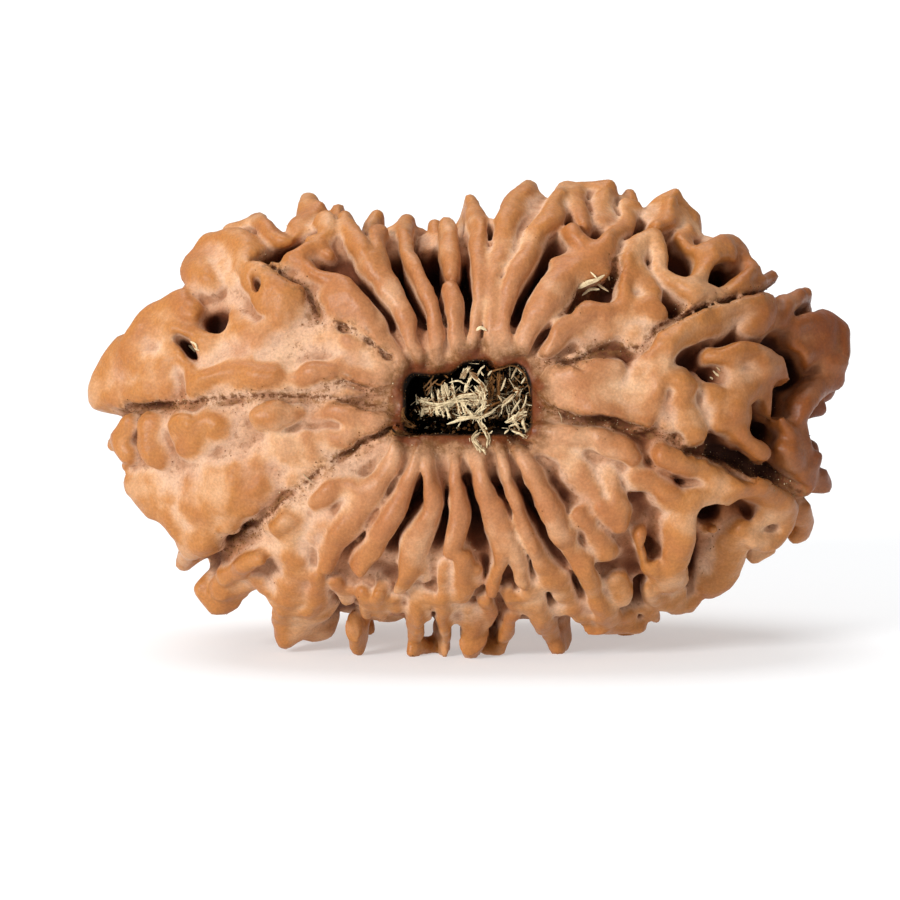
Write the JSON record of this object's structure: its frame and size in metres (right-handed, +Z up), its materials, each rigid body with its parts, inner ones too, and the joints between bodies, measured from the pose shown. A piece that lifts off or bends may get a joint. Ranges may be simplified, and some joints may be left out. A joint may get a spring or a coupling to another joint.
{
  "type": "rudraksha seed",
  "caption": "Oval woody rudraksha seed with deep radiating fins, lumpy lobes and short rim spines round an oblong hole that holds a clump of dry fibres.",
  "frame": {"origin": "middle of the bounding box at its base, where the lowest spines stand on the floor", "axes": "+X along the long axis of the oval face, +Y from the front mouth of the hole towards the back one, +Z up"},
  "size_m": [0.038, 0.0214, 0.0234],
  "materials": {
    "stone": "satin, hand-rubbed crests over a dusty, matt skin",
    "fibre": "matt, dry"
  },
  "bodies": {
    "root": {"seed": "stone", "core_fibres": "fibre"}
  },
  "joints": []
}
